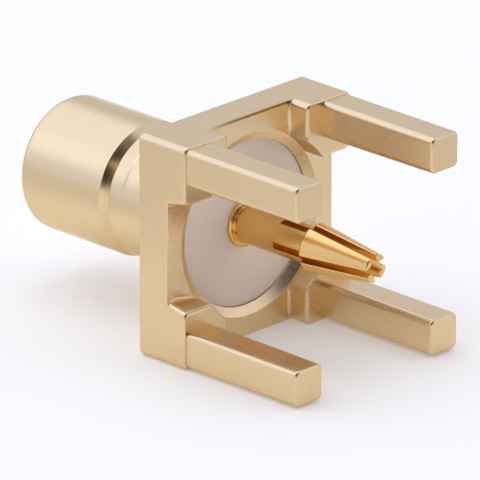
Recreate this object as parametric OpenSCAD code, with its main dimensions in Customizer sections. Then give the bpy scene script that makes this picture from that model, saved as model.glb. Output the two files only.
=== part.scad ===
// Straight SMB jack for a circuit board: a cast square flange with four board legs, a turned
// barrel pressed into its front, a white insulator pressed in from behind, and a centre contact
// with a slotted, tapered solder tail. The axis lies along X. X = 0 is the plane that sits on the
// board, the legs point to +X and the mating end to -X. All sizes are in millimetres.

/* [Board legs] */
// Length of a leg past the board plane
leg_l = 3.98; // [2:0.02:6]
// Side of a leg where it leaves its pad
leg_root_w = 1.02; // [0.7:0.01:1.3]
// Side of a leg at its end
leg_tip_w = 0.99; // [0.6:0.01:1.02]
// Rounding of a leg's long edges
leg_edge_r = 0.15; // [0.05:0.01:0.25]
// Bevel round a leg's end
leg_tip_bevel = 0.05; // [0.02:0.01:0.12]

/* [Flange] */
// Side of the square plate
flange_w = 6.2; // [5.6:0.01:7.2]
// Thickness of the square plate
flange_t = 1.03; // [0.8:0.01:1.6]
// Rounding of the edges of plate and pads along the axis
flange_edge_r = 0.18; // [0.05:0.01:0.4]
// Height of the corner pads that hold the plate off the board
pad_h = 0.65; // [0.3:0.01:1]
// Step from a leg's outer face to the side of the plate
leg_margin = 0.05; // [0.02:0.01:0.3]
// Width of pad left inside a leg
pad_ledge = 0.55; // [0.3:0.01:0.8]

/* [Barrel] */
// Length from the plate to the mating end
barrel_l = 5.8; // [5:0.05:8]
// Outer diameter of the mating sleeve
barrel_d = 3.7; // [3.4:0.01:4]
// Wall of the mating sleeve
barrel_wall = 0.38; // [0.34:0.01:0.5]
// Rounding of the outer mating rim
rim_r = 0.28; // [0.05:0.01:0.3]
// Bevel inside the mating rim
mouth_bevel = 0.06; // [0.02:0.01:0.1]
// Length of the full-diameter sleeve, from the mating end
sleeve_l = 3.03; // [2:0.01:3.5]
// Width of the groove that a plug's spring fingers snap into
groove_w = 0.3; // [0.2:0.01:0.6]
// Depth of that groove below the sleeve
groove_depth = 0.25; // [0.12:0.01:0.28]
// Length that each wall of the groove slopes over
groove_slope_l = 0.03; // [0.02:0.01:0.08]
// Drop in radius from the sleeve to the ring behind the groove
ring_drop = 0.08; // [0.04:0.01:0.1]
// Length of that ring
ring_l = 0.45; // [0.2:0.01:0.8]
// Drop in radius from the ring to the root of the barrel
root_drop = 0.02; // [0.01:0.01:0.06]
// Fillet between the barrel's root and the plate
root_fillet = 0.12; // [0.04:0.01:0.2]
// Wall of the spigot that is pressed into the plate
spigot_wall = 0.2; // [0.1:0.01:0.24]

/* [Insulator] */
// Width of the bevel round the insulator's bore, on the floor between the pads
bevel_w = 0.24; // [0.1:0.01:0.3]
// Depth of that bevel, at which the insulator's rear face lies
bevel_depth = 0.13; // [0.05:0.01:0.25]
// Narrowest width of floor left round that bevel
floor_land = 0.55; // [0.4:0.01:0.7]
// Metal left between the insulator's seat and the front of the plate
seat_wall = 0.36; // [0.2:0.01:0.4]
// Length of the insulator's nose inside the barrel
nose_l = 3; // [2:0.05:4]
// Radial play of the insulator in the body
insulator_play = 0.01; // [0:0.002:0.02]

/* [Centre contact] */
// Diameter of the mating pin
pin_d = 0.5; // [0.4:0.01:0.6]
// Length of the pin ahead of the insulator
pin_l = 1.9; // [1:0.05:2.5]
// Length of the pin's tapered point
pin_point_l = 0.25; // [0.1:0.01:0.5]
// Diameter of the pin's flat end
pin_end_d = 0.24; // [0.1:0.01:0.35]
// Diameter of the stem inside the insulator
stem_d = 0.9; // [0.7:0.01:1]
// Diameter of the collar on the insulator's rear face
collar_d = 1.3; // [1.2:0.01:1.6]
// Thickness of the collar, bevel included
collar_t = 0.2; // [0.15:0.01:0.5]
// Bevel from the collar down to the shank
collar_bevel = 0.04; // [0.03:0.01:0.12]
// Diameter of the shank behind the collar
shank_d = 1.02; // [0.95:0.01:1.18]
// Length of the tail past the board plane
tail_l = 3.93; // [3.2:0.02:5]
// Length of the tapered end
taper_l = 2.16; // [1.5:0.02:2.6]
// Diameter of the taper's thick end
taper_base_d = 1.35; // [1.2:0.01:1.5]
// Length of the short bevel that leads up to the taper's thick end
taper_lead_l = 0.08; // [0.02:0.01:0.15]
// Diameter of the taper's thin end
taper_tip_d = 0.78; // [0.58:0.01:0.9]
// Width of the crossed slots in the tail
slot_w = 0.2; // [0.12:0.01:0.3]
// Length of the slots, from the tail's end
slot_l = 3.25; // [2.4:0.05:3.3]
// Turn of the slots about the axis from the sides of the plate, in degrees
slot_turn = 14; // [0:1:45]
// Diameter of the hole up the middle of the tail
tail_bore_d = 0.4; // [0.25:0.01:0.45]
// Radial play of the contact in the insulator
contact_play = 0.005; // [0:0.001:0.01]

/* [Hidden] */
$fn = 96;
// Overlap of cutters past the faces that they open
over = 0.2;
// Thickness of the slices that a leg is drawn between
slice_t = 0.005;

// Distance between leg centres: 5.08, the 0.2 inch grid of the board's holes, at the sizes above
leg_grid = flange_w - leg_root_w - 2 * leg_margin;
pad_w = leg_margin + leg_root_w + pad_ledge;

// Places along the axis, from the board plane at 0 towards the mating end
floor_at = -pad_h;
insulator_rear_at = floor_at - bevel_depth;
flange_front_at = floor_at - flange_t;
seat_at = flange_front_at + seat_wall;
nose_front_at = seat_at - nose_l;
mating_end_at = flange_front_at - barrel_l;
groove_at = mating_end_at + sleeve_l;
ring_at = groove_at + groove_w;
root_at = ring_at + ring_l;

// Radii of the turned surfaces
sleeve_r = barrel_d / 2;
groove_r = sleeve_r - groove_depth;
ring_r = sleeve_r - ring_drop;
root_r = ring_r - root_drop;
mouth_r = sleeve_r - barrel_wall;
spigot_r = mouth_r + spigot_wall;
bore_mouth_r = flange_w / 2 - floor_land;
bore_r = bore_mouth_r - bevel_w;
stem_hole_r = stem_d / 2 + contact_play;
rim = min(rim_r, barrel_wall - mouth_bevel);

// Places along the contact
pin_at = nose_front_at - pin_l;
collar_at = insulator_rear_at + collar_t;
taper_at = tail_l - taper_l;
slot_at = tail_l - slot_l;

// Lays a shape that was drawn along Z down along X
module along_x() {
    rotate([0, 90, 0]) children();
}

// Puts a shape at the four corners of a square of side w
module at_corners(w) {
    for (sx = [-1, 1], sy = [-1, 1]) translate([sx * w / 2, sy * w / 2, 0]) children();
}

// Square of side w with corners rounded to radius r
module rounded_square(w, r) {
    square([w, w - 2 * r], center = true);
    square([w - 2 * r, w], center = true);
    at_corners(w - 2 * r) circle(r);
}

// One leg, tapered from root to tip with rounded edges and a bevelled end
module leg() {
    module section(w, at) {
        translate([0, 0, at]) linear_extrude(slice_t) rounded_square(w, leg_edge_r, $fn = 32);
    }
    hull() {
        section(leg_root_w, floor_at);
        section(leg_tip_w, leg_l - leg_tip_bevel);
        section(leg_tip_w - 2 * leg_tip_bevel, leg_l - slice_t);
    }
}

// Square plate with a pad on each corner of its board side
module plate() {
    translate([0, 0, flange_front_at])
        linear_extrude(flange_t) rounded_square(flange_w, flange_edge_r);
    at_corners(flange_w - pad_w)
        translate([0, 0, flange_front_at])
            linear_extrude(flange_t + pad_h) rounded_square(pad_w, flange_edge_r);
}

// Everything that is turned out of the plate: hole for the spigot, seat, bevelled bore, arcs in the pads
module plate_bores() {
    rotate_extrude()
        polygon([
            [0, flange_front_at - over], [spigot_r, flange_front_at - over], [spigot_r, seat_at],
            [bore_r, seat_at], [bore_r, insulator_rear_at], [bore_mouth_r, floor_at],
            [bore_mouth_r, over], [0, over]
        ]);
}

module flange() {
    color("#dcc79f") along_x() {
        difference() {
            plate();
            plate_bores();
        }
        at_corners(leg_grid) leg();
    }
}

// Outline of the barrel from its axis, with a round rim, a fillet at the plate and the spigot behind it
module barrel_profile() {
    difference() {
        union() {
            polygon([
                [0, mating_end_at], [sleeve_r - rim, mating_end_at], [sleeve_r, mating_end_at + rim],
                [sleeve_r, groove_at], [groove_r, groove_at + groove_slope_l],
                [groove_r, ring_at - groove_slope_l], [ring_r, ring_at], [ring_r, root_at],
                [root_r, root_at], [root_r, flange_front_at - root_fillet],
                [root_r + root_fillet, flange_front_at],
                [spigot_r, flange_front_at], [spigot_r, seat_at], [0, seat_at]
            ]);
            translate([sleeve_r - rim, mating_end_at + rim]) circle(rim);
        }
        translate([root_r + root_fillet, flange_front_at - root_fillet]) circle(root_fillet);
    }
}

// The barrel's bore, with its bevelled mouth
module barrel_bore() {
    rotate_extrude()
        polygon([
            [0, mating_end_at - over], [mouth_r + mouth_bevel + over, mating_end_at - over],
            [mouth_r, mating_end_at + mouth_bevel], [mouth_r, seat_at + over], [0, seat_at + over]
        ]);
}

module barrel() {
    color("#e6d6b2") along_x() difference() {
        rotate_extrude() barrel_profile();
        barrel_bore();
    }
}

module insulator() {
    color("#c9bdb6") along_x() rotate_extrude()
        polygon([
            [stem_hole_r, nose_front_at], [mouth_r - insulator_play, nose_front_at],
            [mouth_r - insulator_play, seat_at], [bore_r - insulator_play, seat_at],
            [bore_r - insulator_play, insulator_rear_at], [stem_hole_r, insulator_rear_at]
        ]);
}

// Outline of the contact from its axis, pin end first
module contact_profile() {
    polygon([
        [0, pin_at], [pin_end_d / 2, pin_at], [pin_d / 2, pin_at + pin_point_l],
        [pin_d / 2, nose_front_at], [stem_d / 2, nose_front_at], [stem_d / 2, insulator_rear_at],
        [collar_d / 2, insulator_rear_at], [collar_d / 2, collar_at - collar_bevel],
        [collar_d / 2 - collar_bevel, collar_at], [shank_d / 2, collar_at],
        [shank_d / 2, taper_at - taper_lead_l], [taper_base_d / 2, taper_at],
        [taper_tip_d / 2, tail_l], [0, tail_l]
    ]);
}

module centre_contact() {
    color("#b98743") along_x() difference() {
        rotate_extrude() contact_profile();
        translate([0, 0, slot_at]) cylinder(h = slot_l + over, d = tail_bore_d);
        for (turn = [0, 90])
            rotate(turn + slot_turn) translate([-slot_w / 2, -taper_base_d, slot_at])
                cube([slot_w, 2 * taper_base_d, slot_l + over]);
    }
}

flange();
barrel();
insulator();
centre_contact();
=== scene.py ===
"""A straight SMB board jack, gold plated, lying on one side of its flange on a pale floor.

The axis runs along X: the four board legs point to +X, the mating end to -X. Shapes are worked out in
millimetres and turned to metres when they become meshes.
"""

import bmesh
import bpy
import numpy as np
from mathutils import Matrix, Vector


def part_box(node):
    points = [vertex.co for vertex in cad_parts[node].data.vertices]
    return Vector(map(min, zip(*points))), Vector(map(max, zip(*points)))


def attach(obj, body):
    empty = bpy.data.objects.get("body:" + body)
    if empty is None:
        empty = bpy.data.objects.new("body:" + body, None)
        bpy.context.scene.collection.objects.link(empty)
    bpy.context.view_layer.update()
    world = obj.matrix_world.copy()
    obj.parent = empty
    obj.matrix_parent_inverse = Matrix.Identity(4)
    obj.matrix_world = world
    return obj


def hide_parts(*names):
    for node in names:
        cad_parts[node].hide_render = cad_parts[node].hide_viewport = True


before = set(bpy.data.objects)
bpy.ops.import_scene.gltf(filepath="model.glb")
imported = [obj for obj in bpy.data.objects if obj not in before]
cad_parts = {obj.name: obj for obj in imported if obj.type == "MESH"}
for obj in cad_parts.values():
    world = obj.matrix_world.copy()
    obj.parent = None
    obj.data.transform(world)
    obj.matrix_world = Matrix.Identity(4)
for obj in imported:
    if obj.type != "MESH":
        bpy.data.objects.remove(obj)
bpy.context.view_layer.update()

MM = 0.001
TURN = 2 * np.pi


def corners_mm(node):
    """Lowest and highest corner of a CAD node, in mm, to the nearest thousandth."""
    return np.round(np.array(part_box(node)) / MM, 3)


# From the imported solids: where each piece ends along the axis, and half the side of the square plate
(FRONT, _, _), (LEG_END, PLATE_HALF, _) = corners_mm("flange")
(MATING_END, _, _), (SEAT, _, _) = corners_mm("barrel")
BEAD_NOSE = corners_mm("insulator")[0, 0]
PIN_END, TAIL_END = corners_mm("centre_contact")[:, 0]

# Other places along the axis, in mm, with the pads on the board's plane
PADS, FLOOR, BEVEL_END, BEAD_REAR = 0.0, -0.65, -0.80, -0.86
GROOVE = MATING_END + 3.03  # where the sleeve ends
RING = GROOVE + 0.30
ROOT = RING + 0.45
COLLAR_END = BEAD_REAR + 0.11
TAPER_START = TAIL_END - 2.16
SLOT_START = TAIL_END - 3.25

# Plate, pads and legs
LEG_ROOT_HALF, LEG_TIP_HALF, LEG_EDGE_R, LEG_EASE = 0.51, 0.495, 0.15, 0.07
LEG_AT = PLATE_HALF - 0.05 - LEG_ROOT_HALF  # half of 5.08 mm, the spacing of the board's holes
PAD_INNER = LEG_AT - LEG_ROOT_HALF - 0.55  # from the axis to a pad's inner sides
EDGE_R = 0.18  # rounding of the edges that run along the axis
PAD_NOSE_R = 0.07  # rounding where a pad's side meets the arc cut into it
DRAFT = 0.15  # how far a pad's foot stands out past its top into the channels on the two Y sides
DRAFT_FROM = 2.3  # distance from the axis past which Y gives draft, and past which Z gives none
DRAFT_FADE = 0.6  # length of Z over which the draft fades out

# Barrel
SLEEVE_R = 1.85
GROOVE_R, RING_R, ROOT_R = SLEEVE_R - 0.25, SLEEVE_R - 0.08, SLEEVE_R - 0.10
MOUTH_R = SLEEVE_R - 0.38
SPIGOT_R = MOUTH_R + 0.20
RIM_R, ROOT_FILLET = 0.28, 0.12
GROOVE_SLOPE, ROOT_STEP = 0.25, 0.04  # length of the groove's front wall, and half that of the root's step

# Bore and insulator
BORE_MOUTH_R = PLATE_HALF - 0.55
BORE_R, BEAD_PLAY = 2.30, 0.004

# Contact
PIN_R, STEM_R, COLLAR_R, SHANK_R, TAPER_R, TIP_R = 0.25, 0.45, 0.65, 0.51, 0.675, 0.39
STEM_HOLE_R = STEM_R + 0.005
PIN_POINT, PIN_POINT_R = 0.25, 0.12  # length of the pin's point, and radius of its end
SLOT_HALF, TAIL_BORE_R = 0.1, 0.2
SLOT_TURN = np.radians(14)  # the crossed slots are turned a little from the sides of the plate
TAPER_LEAD, PRONG_EASE = 0.08, 0.05  # bevel up to the taper, and rounding of a prong's end

# Small roundings of a plated part, and the extra row that keeps the flat beside each one flat to the eye
SOFT, SUPPORT, FILLET = 0.05, 0.02, 0.1
PAD_SOFT, RIM_SOFT = 0.1, 0.04  # inner edges of the pads, and rim of the channels between them


# Paths and surfaces


def unit(v):
    """Vectors of length 1, with those of no length left at zero."""
    length = np.linalg.norm(v, axis=-1, keepdims=True)
    return v / np.where(length > 0, length, 1)


def eased(corners, steps=5):
    """Path through corners (x, r, radius), with each inner corner turned on an arc of its own radius.

    The arc begins radius * tan(turn / 2) before the corner. At angle a of the turn it has come
    radius * sin(a) along the old side and radius * (1 - cos(a)) across it. Radius 0 keeps the corner.
    """
    corners = np.asarray(corners, float)
    corners, radii = corners[:, :2], corners[1:-1, 2]
    along, onward = unit(np.diff(corners, axis=0)[:-1]), unit(np.diff(corners, axis=0)[1:])
    cosine = np.clip((along * onward).sum(1), -1, 1)
    across = unit(onward - cosine[:, None] * along)
    turn = np.arccos(cosine)
    start = corners[1:-1] - along * (radii * np.tan(turn / 2))[:, None]
    a = turn[:, None] * np.linspace(0, 1, steps + 1)
    arcs = start[:, None] + radii[:, None, None] * (
        np.sin(a)[..., None] * along[:, None] + (1 - np.cos(a))[..., None] * across[:, None]
    )
    path = np.concatenate([corners[:1], arcs.reshape(-1, 2), corners[-1:]])
    # points that fall together are kept once
    moved = np.linalg.norm(np.diff(path, axis=0), axis=1) > 1e-6
    return path[np.append(True, moved)]


def supported(path, gap=SUPPORT):
    """The path with one more point, a gap away, at both ends of every straight stretch of over 4 gaps."""
    step = np.diff(path, axis=0)
    length = np.linalg.norm(step, axis=1)
    trio = np.stack([path[:-1], path[:-1] + unit(step) * gap, path[1:] - unit(step) * gap], axis=1)
    kept = np.stack([length > 0, length > 4 * gap, length > 4 * gap], axis=1)
    return np.concatenate([trio[kept], path[-1:]])


def turned(path, columns=180):
    """Surface turned about X: each point (x, r) of the path goes round as x, r cos(t), r sin(t)."""
    t = np.linspace(0, TURN, columns, endpoint=False)
    x, r = path[:, :1], path[:, 1:]
    return np.stack([x + 0 * t, r * np.cos(t), r * np.sin(t)], axis=-1)


def all_round(x, y, z):
    """One eighth of a square, a row of points from mid side to corner, carried right round.

    Mirroring swaps y and z about the corner's diagonal, and a quarter turn takes (y, z) to (-z, y).
    """
    there, back = np.stack([x, y, z], axis=-1), np.stack([x, z, y], axis=-1)[-2:0:-1]
    quarter = np.concatenate([there, back])
    turns = np.array([[[1, 0, 0], [0, c, -s], [0, s, c]] for c, s in ((1, 0), (0, 1), (-1, 0), (0, -1))])
    return np.einsum("kij,nj->kni", turns, quarter).reshape(-1, 3)


def square_outline(half, radius):
    """Outlines of squares with rounded corners, one for each half side.

    Each corner is a quarter of a circle, with one more point on the flat at both its ends.
    """
    t = np.linspace(0, TURN / 4, 7)
    half, flat = np.asarray(half)[:, None], np.zeros(1)
    along = np.concatenate([flat - radius - SUPPORT, radius * (np.sin(t) - 1), flat])
    out = np.concatenate([flat, radius * (np.cos(t) - 1), flat - radius - SUPPORT])
    y, z = half + out, half + along
    return np.concatenate([y, -z, -y, z], axis=1), np.concatenate([z, y, -z, -y], axis=1)


def piece(name, grids, material, node, open_columns=None):
    """A closed mesh from grids of points in mm, which rides with the part and stands for a CAD node.

    Quads join neighbouring rows and columns, and the last column joins the first. Points that meet are
    merged, which closes poles and folds. A column of the first grid that is named open is one side of a
    fold, so no quad joins it to the next.
    """
    corners, quads, start = [], [], 0
    for grid in grids:
        here = start + np.arange(grid[..., 0].size).reshape(grid.shape[:2])
        beside = np.roll(here, -1, axis=1)
        cells = np.stack([here[:-1], beside[:-1], beside[1:], here[1:]], axis=-1)
        if open_columns is not None and grid is grids[0]:
            cells = np.delete(cells, open_columns, axis=1)
        corners.append(grid.reshape(-1, 3))
        quads.append(cells.reshape(-1, 4))
        start += here.size
    weld, sharp_turn = 0.0002 * MM, np.radians(32)
    mesh = bpy.data.meshes.new(name)
    mesh.from_pydata((np.concatenate(corners) * MM).tolist(), [], np.concatenate(quads).tolist())
    shell = bmesh.new()
    shell.from_mesh(mesh)
    bmesh.ops.remove_doubles(shell, verts=shell.verts, dist=weld)
    bmesh.ops.dissolve_degenerate(shell, edges=shell.edges, dist=weld)
    bmesh.ops.recalc_face_normals(shell, faces=shell.faces)
    shell.to_mesh(mesh)
    shell.free()
    mesh.shade_smooth()
    mesh.set_sharp_from_angle(angle=sharp_turn)
    mesh.materials.append(material)
    made = bpy.data.objects.new(name, mesh)
    bpy.context.scene.collection.objects.link(made)
    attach(made, "root")
    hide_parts(node)


# Materials


def linear(code):
    """sRGB hex to linear red, green and blue, with full alpha.

    A channel c becomes c / 12.92 up to 0.04045, and ((c + 0.055) / 1.055) ** 2.4 above that.
    """
    c = np.array([int(code[i : i + 2], 16) for i in (1, 3, 5)]) / 255
    return (*np.where(c <= 0.04045, c / 12.92, ((c + 0.055) / 1.055) ** 2.4), 1.0)


def add(tree, kind, inputs=(), **settings):
    """A new node with its settings, and each named input set to a value or linked to a socket."""
    made = tree.nodes.new(kind)
    for name, value in settings.items():
        setattr(made, name, value)
    for name, value in dict(inputs).items():
        if isinstance(value, bpy.types.NodeSocket):
            tree.links.new(value, made.inputs[name])
        else:
            made.inputs[name].default_value = value
    return made


def blank(name):
    """A new material with an empty tree, its tree, and the place of a point on the piece in metres."""
    material = bpy.data.materials.new(name)
    material.use_nodes = True
    tree = material.node_tree
    tree.nodes.clear()
    return material, tree, add(tree, "ShaderNodeTexCoord").outputs["Object"]


def per_metre(size_mm):
    """Texture scale that makes one cell of a pattern that many mm wide."""
    return 1 / (size_mm * MM)


def with_brown_band(tree, place, given_tone, middle_mm, half_mm):
    """The tone it is given, turned brown in a soft-edged box.

    A point's largest share of the way from the middle to the box's sides decides: full brown up to
    half way, and an even fade from there to none at the sides.
    """
    middle, half = [v * MM for v in middle_mm], [v * MM for v in half_mm]
    off = add(tree, "ShaderNodeVectorMath", {0: place, 1: middle}, operation="SUBTRACT")
    out = add(tree, "ShaderNodeVectorMath", {0: off.outputs["Vector"], 1: half}, operation="DIVIDE")
    share = add(tree, "ShaderNodeVectorMath", {0: out.outputs["Vector"]}, operation="ABSOLUTE")
    x, y, z = add(tree, "ShaderNodeSeparateXYZ", {"Vector": share.outputs["Vector"]}).outputs
    flat = add(tree, "ShaderNodeMath", {0: x, 1: y}, operation="MAXIMUM")
    most = add(tree, "ShaderNodeMath", {0: flat.outputs["Value"], 1: z}, operation="MAXIMUM")
    inside = add(
        tree, "ShaderNodeMapRange",
        {"Value": most.outputs["Value"], "From Min": 0.5, "From Max": 1.0, "To Min": 1.0, "To Max": 0.0},
    )
    # inside the box the tone goes to a fixed brown
    return add(
        tree, "ShaderNodeMix",
        {"Factor": inside.outputs["Result"], "A": given_tone, "B": linear("#9E7E50")}, data_type="RGBA",
    ).outputs["Result"]


def gold_plate(name, pale, deep, roughness, lines_mm, line_depth_mm, brown_band_mm=None):
    """Gold plate over metal: pale and deep tones drift over a few mm, and fine tool lines mark it.

    lines_mm gives the width of the marks along X, Y and Z, so that they run lengthwise on the cast
    flange and in rings round the turned pieces. They are drawn coarser than real ones, which would be
    too fine to show. brown_band_mm gives the middle and half sides of a box where the tone turns brown.
    """
    drift_mm, grain_mm, grain_share = 1.6, 0.09, 0.1
    material, tree, place = blank(name)
    drift = add(
        tree, "ShaderNodeTexNoise",
        {"Vector": place, "Scale": per_metre(drift_mm), "Detail": 3.0, "Roughness": 0.6},
    )
    tone = add(
        tree, "ShaderNodeMix",
        {"Factor": drift.outputs["Fac"], "A": linear(deep), "B": linear(pale)}, data_type="RGBA",
    ).outputs["Result"]
    if brown_band_mm:
        tone = with_brown_band(tree, place, tone, *brown_band_mm)
    stretched = add(tree, "ShaderNodeMapping", {"Vector": place, "Scale": [per_metre(w) for w in lines_mm]})
    lines = add(
        tree, "ShaderNodeTexNoise", {"Vector": stretched.outputs["Vector"], "Scale": 1.0, "Detail": 2.0}
    )
    grain = add(tree, "ShaderNodeTexNoise", {"Vector": place, "Scale": per_metre(grain_mm), "Detail": 2.0})
    marks = add(
        tree, "ShaderNodeMix",
        {"Factor": grain_share, "A": lines.outputs["Fac"], "B": grain.outputs["Fac"]},
    )
    rough = add(
        tree, "ShaderNodeMapRange",
        {
            "Value": marks.outputs["Result"], "From Min": 0.3, "From Max": 0.7,
            "To Min": roughness - 0.03, "To Max": roughness + 0.04,
        },
    )
    bump = add(
        tree, "ShaderNodeBump",
        {"Height": marks.outputs["Result"], "Strength": 1.0, "Distance": line_depth_mm * MM},
    )
    shader = add(
        tree, "ShaderNodeBsdfPrincipled",
        {
            "Base Color": tone,
            "Specular Tint": linear("#F6EEDD"),
            "Metallic": 1.0,
            "Roughness": rough.outputs["Result"],
            "Normal": bump.outputs["Normal"],
        },
    )
    add(tree, "ShaderNodeOutputMaterial", {"Surface": shader.outputs["BSDF"]})
    return material


# Pale gold over a cast flange: satin, with soft lengthwise marks from the die and from polishing.
# The tone turns brown in a thin line along the upper rim, between the pads.
# box where the flange's tone is turned brown
rim_brown_band = (-0.63, 0.2, 3.05), (0.05, 1.8, 0.05)
cast_gold = gold_plate(
    "gold_plate_on_cast_flange", pale="#E9CEA3", deep="#E4C99D", roughness=0.29,
    lines_mm=(4.0, 0.16, 0.16), line_depth_mm=0.0004, brown_band_mm=rim_brown_band,
)

# The same plate over a turned tube: a little paler and smoother, with hardly a trace of the tool's rings.
turned_gold = gold_plate(
    "gold_plate_on_turned_barrel", pale="#EACFA3", deep="#E5CA9D", roughness=0.2,
    lines_mm=(0.08, 3.0, 3.0), line_depth_mm=0.00003,
)

# A deeper yellow plate over the turned contact: its rings show, and it goes orange where it mirrors itself.
contact_gold = gold_plate(
    "gold_plate_on_turned_contact", pale="#F3C77F", deep="#ECBD74", roughness=0.23,
    lines_mm=(0.05, 2.0, 2.0), line_depth_mm=0.0006,
)


def turned_ptfe():
    """Turned PTFE: waxy white, dull, a little see-into, with faint rings where the tool faced it off."""
    cloud_mm, ring_mm, ring_depth_mm = 0.7, 0.09, 0.003
    material, tree, place = blank("turned_ptfe_bead")
    cloud = add(tree, "ShaderNodeTexNoise", {"Vector": place, "Scale": per_metre(cloud_mm), "Detail": 4.0})
    tone = add(
        tree, "ShaderNodeMix",
        {"Factor": cloud.outputs["Fac"], "A": linear("#F8E4D0"), "B": linear("#FBEBDA")}, data_type="RGBA",
    )
    # a ring wave repeats every TURN / (20 * scale), and the facing cut's pitch is coarse enough to show
    rings = add(
        tree, "ShaderNodeTexWave",
        {"Vector": place, "Scale": TURN / 20 * per_metre(ring_mm), "Distortion": 1.2, "Detail": 1.0},
        wave_type="RINGS", rings_direction="X",
    )
    bump = add(
        tree, "ShaderNodeBump",
        {"Height": rings.outputs["Fac"], "Strength": 0.6, "Distance": ring_depth_mm * MM},
    )
    shader = add(
        tree, "ShaderNodeBsdfPrincipled",
        {
            "Base Color": tone.outputs["Result"],
            "Roughness": 0.48,
            "IOR": 1.35,
            "Subsurface Weight": 0.15,
            "Subsurface Radius": (0.5 * MM, 0.45 * MM, 0.4 * MM),
            "Subsurface Scale": 1.0,
            "Normal": bump.outputs["Normal"],
        },
    )
    add(tree, "ShaderNodeOutputMaterial", {"Surface": shader.outputs["BSDF"]})
    return material


white_ptfe = turned_ptfe()


# The cast flange


def flange_sheet():
    """The flange as one closed sheet, and the columns that are the two sides of a fold.

    Columns go round the axis. One eighth starts at the middle of a side, crosses half the channel between
    two pads, and then follows a pad to its corner, on the pad's outer side and on its inner wall at once.
    Rows go once round the metal's section: front face, side, over the pads, floor, bevelled bore, seat
    and spigot hole. In the channel the rows of the pads lie on one another.
    """
    corner, side_end = PLATE_HALF - EDGE_R, PAD_INNER + EDGE_R
    nose_y = np.sqrt((BORE_MOUTH_R + PAD_NOSE_R) ** 2 - (PAD_INNER + PAD_NOSE_R) ** 2)
    nose_turn = np.arctan2(PAD_INNER + PAD_NOSE_R, nose_y)
    across = np.array([0, 0.25, 0.5, 0.75, 0.9, 0.97, 1])  # shares of half the channel

    # inner wall: round the pad's edge, along its side, round its nose, and along the arc cut by the bore
    rim_turn = np.linspace(0, TURN / 4, 5)
    edge = -np.arccos(1 - RIM_SOFT * (1 - np.cos(rim_turn)) / EDGE_R)
    edge = np.append(edge, np.linspace(edge[-1], -TURN / 4, 4)[1:])
    flat = np.linspace(corner - SUPPORT, nose_y + SUPPORT, 7)
    nose = np.linspace(-TURN / 4, nose_turn - TURN / 2, 4)
    arc = np.linspace(nose_turn, TURN / 8, 5)[1:]
    counts = [len(across), len(edge), len(flat), len(nose), len(arc)]
    pad_start, flat_start, nose_start, arc_start, columns = np.cumsum(counts)
    inward = np.array([
        np.concatenate([0 * across - 1, -np.cos(edge), 0 * flat, -np.cos(nose), np.cos(arc)]),
        np.concatenate([0 * across, -np.sin(edge), 0 * flat + 1, -np.sin(nose), np.sin(arc)]),
    ])
    wall = np.array([
        np.concatenate([
            0 * across + PLATE_HALF, corner + EDGE_R * np.cos(edge), flat,
            nose_y + PAD_NOSE_R * np.cos(nose), BORE_MOUTH_R * np.cos(arc),
        ]),
        np.concatenate([
            side_end * across, side_end + EDGE_R * np.sin(edge), 0 * flat + PAD_INNER,
            PAD_INNER + PAD_NOSE_R * (1 + np.sin(nose)), BORE_MOUTH_R * np.sin(arc),
        ]),
    ])
    on_pad = np.arange(columns) >= pad_start

    # outer side: straight to the corner's arc, then half of that arc
    a = np.linspace(0, TURN / 8, 7)[1:]
    straight = np.append(np.linspace(side_end, corner - SUPPORT, columns - pad_start - len(a) - 1), corner)
    level = np.zeros(columns - len(a))
    out = np.array([np.append(level + 1, np.cos(a)), np.append(level, np.sin(a))])
    outer = np.array([
        np.append(level + PLATE_HALF, corner + EDGE_R * np.cos(a)),
        np.concatenate([side_end * across, straight, corner + EDGE_R * np.sin(a)]),
    ])

    # the bore's columns lag behind the pad's edge and catch up at its nose, so that none crosses another
    edge_from, edge_to, flat_to = 0.2, 0.28, np.arctan2(PAD_INNER, flat[-1])
    angle = np.interp(
        np.arange(columns),
        [0, pad_start - 1, pad_start, flat_start - 1, nose_start - 1, arc_start - 1, columns - 1],
        [0, edge_from, edge_from, edge_to, flat_to, nose_turn, TURN / 8],
    )

    # where the wall lands: on the rounded rim of the channel's mouth, then on the flat floor with a fillet,
    # which takes only a share of the room there is, so that no row crosses the next
    on_rim = pad_start + np.arange(len(rim_turn))
    foot = np.full(columns, FLOOR)
    foot[on_rim] -= RIM_SOFT * (1 - np.sin(rim_turn))
    room = wall[1] - np.sqrt(np.clip(BORE_MOUTH_R**2 - wall[0] ** 2, 0, None))
    to_rim = PLATE_HALF - RIM_SOFT - SUPPORT - wall[0]
    fillet = np.clip(np.minimum(FILLET, np.minimum(0.4 * room, 0.5 * to_rim)), 0, None)
    fillet[: on_rim[-1] + 1] = fillet[nose_start:] = 0
    landed = wall - inward * fillet
    beyond = wall - inward * (fillet + np.minimum(SUPPORT, 0.4 * fillet))
    bore_rim = BORE_MOUTH_R * np.array([np.cos(angle), np.sin(angle)])
    land = np.minimum(SUPPORT, 0.3 * np.hypot(*(wall - bore_rim)))
    share = np.append(across, np.ones(columns - pad_start))

    rows = []

    def ring(x, r):
        """A row round the axis: r cos(angle), r sin(angle)."""
        rows.append((x + 0 * angle, r * np.cos(angle), r * np.sin(angle)))

    def side(x, inset=0.0):
        """A row along the plate's outer side, or set in from it."""
        rows.append((x + 0 * angle, *(outer - inset * out)))

    def over_pad(x, line, normal, inset):
        """A row that is on the pads only: in the channel it stays where the side ended."""
        held = np.array([FLOOR - RIM_SOFT + 0 * angle, *outer])
        rows.append(tuple(np.where(on_pad, np.array([x + 0 * angle, *(line + inset * normal)]), held)))

    def across_mouth(x, y, z, last, rest):
        """A row across the channel's mouth, up to a column of the pad's edge, then along the pad's foot."""
        mouth = np.array([x + 0 * angle, y + 0 * angle, z * share])
        rows.append(tuple(np.where(np.arange(columns) <= last, mouth, rest)))

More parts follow.
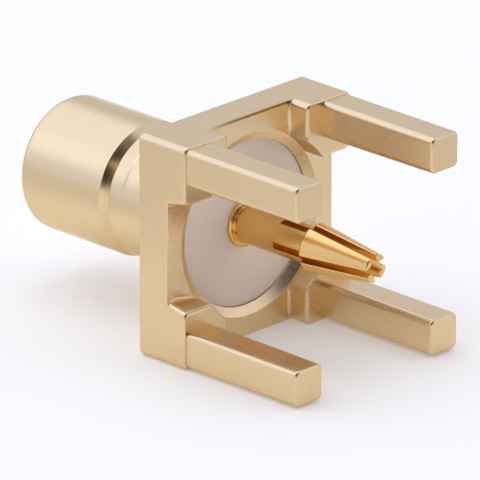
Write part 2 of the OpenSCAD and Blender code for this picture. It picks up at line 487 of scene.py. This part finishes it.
    # how far an edge's rounding has come along one face and across to the next, as shares of its radius
    rise, inset = 1 - np.sin(rim_turn), 1 - np.cos(rim_turn)
    soft = np.interp(
        np.arange(columns), [pad_start, flat_start - 1, nose_start - 2, nose_start],
        [SOFT, PAD_SOFT, PAD_SOFT, SOFT],
    )

    # front face, its rounded edge, and the plate's side up to the floor
    ring(FRONT, SPIGOT_R)
    side(FRONT, SOFT + SUPPORT)
    for r, i in zip(rise, inset):
        side(FRONT + SOFT * i, SOFT * r)
    side(FRONT + SOFT + SUPPORT)
    side(FLOOR - RIM_SOFT - SUPPORT)
    side(FLOOR - RIM_SOFT)

    # up the pads' outer sides, over their tops, and down their inner walls to the fillet
    over_pad(FLOOR + FILLET + SUPPORT, outer, -out, 0)
    over_pad(PADS - SOFT - SUPPORT, outer, -out, 0)
    for r, i in zip(rise, inset):
        over_pad(PADS - SOFT * r, outer, -out, SOFT * i)
    over_pad(PADS, outer, -out, SOFT + SUPPORT)
    over_pad(PADS, wall, inward, soft + SUPPORT)
    for r, i in zip(rise[::-1], inset[::-1]):
        over_pad(PADS - soft * r, wall, inward, soft * i)
    over_pad(PADS - soft - SUPPORT, wall, inward, 0)
    over_pad(FLOOR + FILLET + SUPPORT, wall, inward, 0)
    for t in np.linspace(0, TURN / 4, 4):
        over_pad(foot + fillet * (1 - np.sin(t)), wall, inward, -fillet * (1 - np.cos(t)))

    # floor between the pads, bevel, bore, seat and spigot hole
    for column in on_rim[1:]:
        across_mouth(foot[column], *wall[:, column], column, np.array([foot, *landed]))
    next_z = beyond[1, on_rim[-1] + 1]
    across_mouth(FLOOR, PLATE_HALF - RIM_SOFT - SUPPORT, next_z, on_rim[-1], np.array([foot, *beyond]))
    ring(FLOOR, BORE_MOUTH_R + land)
    for x, r in supported(np.array([(FLOOR, BORE_MOUTH_R), (BEVEL_END, BORE_R)])):
        ring(x, r)
    ring(SEAT, BORE_R)
    ring(SEAT, SPIGOT_R)
    ring(FRONT, SPIGOT_R)
    sheet = np.stack([all_round(*row) for row in rows])

    # draft: walls lean out from the pads' top to the floor, fully at the plate's side and not at the bore
    x, y, z = np.moveaxis(sheet, -1, 0)
    down = np.clip((PADS - x) / (PADS - FLOOR), 0, 1)
    outward = np.clip((np.abs(y) - DRAFT_FROM) / (PLATE_HALF - DRAFT_FROM), 0, 1)
    inside = np.clip((DRAFT_FROM - np.abs(z)) / DRAFT_FADE, 0, 1)
    sheet[..., 2] -= DRAFT * down * outward * np.clip(z / PAD_INNER, -1, 1) * inside
    per_turn = 2 * columns - 2
    fold_sides = (pad_start - 1, per_turn - pad_start)
    return sheet, [turn * per_turn + column for turn in range(4) for column in fold_sides]


def legs():
    """Four legs: a square section with rounded edges, carried along the axis and closed at both ends.

    Its half side shrinks evenly from the floor to the end, where the rim is eased on a quarter of a circle.
    """
    a = np.linspace(0, TURN / 4, 6)
    shaft = np.linspace(PADS, LEG_END - LEG_EASE - SUPPORT, 8)
    rim = LEG_END - LEG_EASE * (1 - np.sin(a))
    x = np.concatenate([[FLOOR, FLOOR], shaft, rim, [LEG_END, LEG_END]])
    half = LEG_ROOT_HALF + (LEG_TIP_HALF - LEG_ROOT_HALF) * (x - FLOOR) / (LEG_END - FLOOR)
    half[-2 - rim.size : -2] -= LEG_EASE * (1 - np.cos(a))
    half[-2] = half[-3] - SUPPORT
    y, z = square_outline(half, LEG_EDGE_R)
    closed = np.ones((len(x), 1))
    closed[[0, -1]] = 0
    one = np.stack([x[:, None] + 0 * y, y * closed, z * closed], axis=-1)
    return [one + np.array([0, sy * LEG_AT, sz * LEG_AT]) for sy in (-1, 1) for sz in (-1, 1)]


flange_grid, fold_columns = flange_sheet()
piece("cast_flange", [flange_grid, *legs()], cast_gold, "flange", fold_columns)


# The turned pieces


def barrel_path():
    """Section of the barrel's wall, once round from the middle of its bore: corners with their roundings.

    It has a round mating rim, a snap groove with a sloped front wall, a ring, a root and a spigot.
    """
    middle = (BEAD_NOSE + FRONT) / 2
    return supported(eased([
        (middle, MOUTH_R, 0), (MATING_END, MOUTH_R, 0.06), (MATING_END, SLEEVE_R, RIM_R),
        (GROOVE, SLEEVE_R, 0.03), (GROOVE + GROOVE_SLOPE, GROOVE_R, 0.02),
        (RING, GROOVE_R, 0.01), (RING, RING_R, 0.02),
        (ROOT - ROOT_STEP, RING_R, 0.2), (ROOT + ROOT_STEP, ROOT_R, 0.2),
        (FRONT, ROOT_R, ROOT_FILLET), (FRONT, ROOT_R + ROOT_FILLET, 0),
        (FRONT, SPIGOT_R, 0), (SEAT, SPIGOT_R, 0.02), (SEAT, MOUTH_R, 0.02), (middle, MOUTH_R, 0),
    ]))


def bead_path():
    """Section of the insulator, once round from its hole: rear face, wide head, nose."""
    head, nose = BORE_R - BEAD_PLAY, MOUTH_R - BEAD_PLAY
    middle = (BEAD_REAR + BEAD_NOSE) / 2
    return supported(eased([
        (middle, STEM_HOLE_R, 0), (BEAD_REAR, STEM_HOLE_R, 0.01), (BEAD_REAR, head, 0.008),
        (SEAT, head, 0.03), (SEAT, nose, 0.01),
        (BEAD_NOSE, nose, 0.06), (BEAD_NOSE, STEM_HOLE_R, 0.03), (middle, STEM_HOLE_R, 0),
    ]))


def contact_path():
    """Section of the contact's solid part, from the pin's end to the bottom of the slots."""
    return supported(eased([
        (PIN_END, 0, 0), (PIN_END, PIN_POINT_R, 0.05), (PIN_END + PIN_POINT, PIN_R, 0.08),
        (BEAD_NOSE, PIN_R, 0.01), (BEAD_NOSE, STEM_R, 0.02), (BEAD_REAR, STEM_R, 0.01),
        (BEAD_REAR, COLLAR_R, 0.03), (COLLAR_END, COLLAR_R, 0.05), (COLLAR_END, SHANK_R, 0.02),
        (SLOT_START, SHANK_R, 0), (SLOT_START, 0, 0),
    ]), SUPPORT / 2)


def prongs():
    """The tail's four prongs: a quarter of a tube between two slots, carried along the axis.

    The outline runs from the hole along one slot wall, over an eased edge, round the outside and back.
    Its outer radius follows shank, lead-in and taper, and the end is eased and closed.
    """
    soft, sunk, gap = 0.03, 0.06, SUPPORT / 2  # rounding of the edges, depth of the root in the shank
    side = supported(eased([
        (SLOT_START, SHANK_R, 0), (TAPER_START - TAPER_LEAD, SHANK_R, 0.03),
        (TAPER_START, TAPER_R, 0.06), (TAIL_END - PRONG_EASE, TIP_R, 0),
    ]), gap)
    buried = (SLOT_START - sunk, SHANK_R - soft)
    root = np.array([buried, buried, (SLOT_START, SHANK_R - soft)])
    a = TURN / 4 * np.array([0.25, 0.5, 0.75, 1, 1])
    tip = np.stack([TAIL_END - PRONG_EASE * (1 - np.sin(a)), np.full(a.size, TIP_R)], axis=1)
    shrink = np.append(np.zeros(len(root) + len(side)), PRONG_EASE * (1 - np.cos(a)))[:, None]
    x, radius = np.split(np.concatenate([root, side, tip]), 2, axis=1)
    outer, slot, hole = radius - shrink, SLOT_HALF + shrink, TAIL_BORE_R + shrink
    centre = np.sqrt((outer - soft) ** 2 - (slot + soft) ** 2)
    swing = np.arctan2(slot + soft, centre)
    edge = -TURN / 4 + (swing + TURN / 4) * np.linspace(0, 1, 5)
    around = swing + (TURN / 4 - 2 * swing) * np.linspace(0, 1, 14)[1:-1]
    inner = np.sqrt(hole**2 - slot**2)
    half_y = np.concatenate([inner, inner + gap, centre - gap, centre + soft * np.cos(edge)], axis=1)
    half_z = np.concatenate([slot, slot, slot, slot + soft * (1 + np.sin(edge))], axis=1)
    y = np.concatenate([half_y, outer * np.cos(around), half_z[:, ::-1]], axis=1)
    z = np.concatenate([half_z, outer * np.sin(around), half_y[:, ::-1]], axis=1)
    for end in (0, -1):
        y[end], z[end] = y[end].mean(), z[end].mean()
    turns = SLOT_TURN + TURN / 4 * np.arange(4)[:, None, None]
    y, z = y * np.cos(turns) - z * np.sin(turns), y * np.sin(turns) + z * np.cos(turns)
    return list(np.stack([x + 0 * y, y, z], axis=-1))


piece("turned_barrel", [turned(barrel_path())], turned_gold, "barrel")
piece("ptfe_bead", [turned(bead_path())], white_ptfe, "insulator")
piece(
    "slotted_contact", [turned(contact_path(), columns=120), *prongs()], contact_gold,
    "centre_contact",
)


# Floor, light and camera


def lit_floor():
    """Matt white floor, lit from below as on a light table, so that shadows stay faint.

    The light is full in a strip 13 mm wide that runs away from the camera, and fades to both sides of it.
    """
    across_view, middle, half, faded = (0.714, 0.7, 0), -0.7 * MM, 6.5 * MM, 16 * MM
    strip_glow, far_glow = 0.21, 0.02
    material, tree, place = blank("lit_white_acrylic")
    across = add(tree, "ShaderNodeVectorMath", {0: place, 1: across_view}, operation="DOT_PRODUCT")
    off = add(tree, "ShaderNodeMath", {0: across.outputs["Value"], 1: middle}, operation="SUBTRACT")
    away = add(tree, "ShaderNodeMath", {0: off.outputs["Value"]}, operation="ABSOLUTE")
    glow = add(
        tree, "ShaderNodeMapRange",
        {
            "Value": away.outputs["Value"], "From Min": half, "From Max": faded,
            "To Min": strip_glow, "To Max": far_glow,
        },
        interpolation_type="SMOOTHSTEP",
    )
    shader = add(
        tree, "ShaderNodeBsdfPrincipled",
        {
            "Base Color": linear("#EDE8DC"), "Roughness": 0.9, "Specular IOR Level": 0.1,
            "Emission Color": linear("#FFFFFF"), "Emission Strength": glow.outputs["Result"],
        },
    )
    add(tree, "ShaderNodeOutputMaterial", {"Surface": shader.outputs["BSDF"]})
    reach, height = 1500.0, -PLATE_HALF
    mesh = bpy.data.meshes.new("floor")
    square = np.array([(-1, -1), (1, -1), (1, 1), (-1, 1)]) * reach
    mesh.from_pydata((np.c_[square, np.full(4, height)] * MM).tolist(), [], [(0, 1, 2, 3)])
    mesh.materials.append(material)
    floor = bpy.data.objects.new("floor", mesh)
    bpy.context.scene.collection.objects.link(floor)


def lobe(tree, towards, full, none):
    """A round patch of sky: 1 up to full degrees from its middle, then a soft fade to 0 at none degrees."""
    way = add(tree, "ShaderNodeTexCoord").outputs["Generated"]
    middle = Vector(towards).normalized()
    near = add(tree, "ShaderNodeVectorMath", {0: way, 1: middle}, operation="DOT_PRODUCT")
    cosines = {"From Min": np.cos(np.radians(none)), "From Max": np.cos(np.radians(full))}
    return add(
        tree, "ShaderNodeMapRange", {"Value": near.outputs["Value"], **cosines},
        interpolation_type="SMOOTHSTEP",
    ).outputs["Result"]


def light(code, radiance):
    """Linear colour of a light, from an sRGB hex and a radiance."""
    return tuple(radiance * np.array(linear(code)))


def studio_light():
    """A pale studio: an even cool sky, dark round the camera, and four soft lights added to it.

    Each light has the way to its middle, the degrees where it stops being full and where it ends, its
    colour and its radiance. Left and right are as the camera sees them.
    """
    world = bpy.data.worlds.new("studio")
    bpy.context.scene.world = world
    world.use_nodes = True
    tree = world.node_tree
    tree.nodes.clear()
    dark = lobe(tree, (0.75, -0.3, 0.55), 31, 43)
    sky = add(
        tree, "ShaderNodeMix",
        {"Factor": dark, "A": light("#DCE4FF", 1.02), "B": light("#DCE4FF", 0.03)}, data_type="RGBA",
    ).outputs["Result"]
    above_left = (-0.65, -0.15, 0.74), 28, 50, "#CBD9F4", 0.6
    low_left = (-0.65, -0.75, 0.15), 5, 50, "#DCE4FF", 0.15
    low_right = (0.66, 0.68, 0.25), 12, 32, "#FFF4E4", 0.3
    overhead = (0.1, -0.1, 1.0), 10, 40, "#FFF8F0", 0.8
    for towards, full, none, code, radiance in (above_left, low_left, low_right, overhead):
        sky = add(
            tree, "ShaderNodeMix",
            {"Factor": lobe(tree, towards, full, none), "A": sky, "B": light(code, radiance)},
            data_type="RGBA", blend_type="ADD",
        ).outputs["Result"]
    glow = add(tree, "ShaderNodeBackground", {"Color": sky, "Strength": 1.0})
    add(tree, "ShaderNodeOutputWorld", {"Surface": glow.outputs["Background"]})


def photo_camera():
    """The photograph's view: 44.4 degrees round from -Y towards +X, 21.1 degrees up, from 293 mm away.

    It looks along the line to the frame's middle, and stands off to the side of the origin by as much as
    puts the origin on its own pixel: the pixels between them times distance over focal length.
    """
    round_by, up_by, away = np.radians(44.42), np.radians(21.10), 293.0
    frame_px, focal_px, origin_px = 480.0, 11182.0, np.array([267.82, 230.56])
    sensor = 36.0
    back = np.array([np.sin(round_by) * np.cos(up_by), -np.cos(round_by) * np.cos(up_by), np.sin(up_by)])
    right = np.array([np.cos(round_by), np.sin(round_by), 0])
    up = np.cross(back, right)
    across, below = (frame_px / 2 - origin_px) * away / focal_px
    lens = bpy.data.cameras.new("camera")
    lens.sensor_width, lens.lens = sensor, sensor * focal_px / frame_px
    lens.clip_start, lens.clip_end = 0.005, 20.0
    camera = bpy.data.objects.new("camera", lens)
    bpy.context.scene.collection.objects.link(camera)
    camera.location = (right * across - up * below + back * away) * MM
    camera.rotation_euler = Vector(back).to_track_quat("Z", "Y").to_euler()
    bpy.context.scene.camera = camera


lit_floor()
studio_light()
photo_camera()
bpy.context.scene.view_settings.view_transform = "Standard"
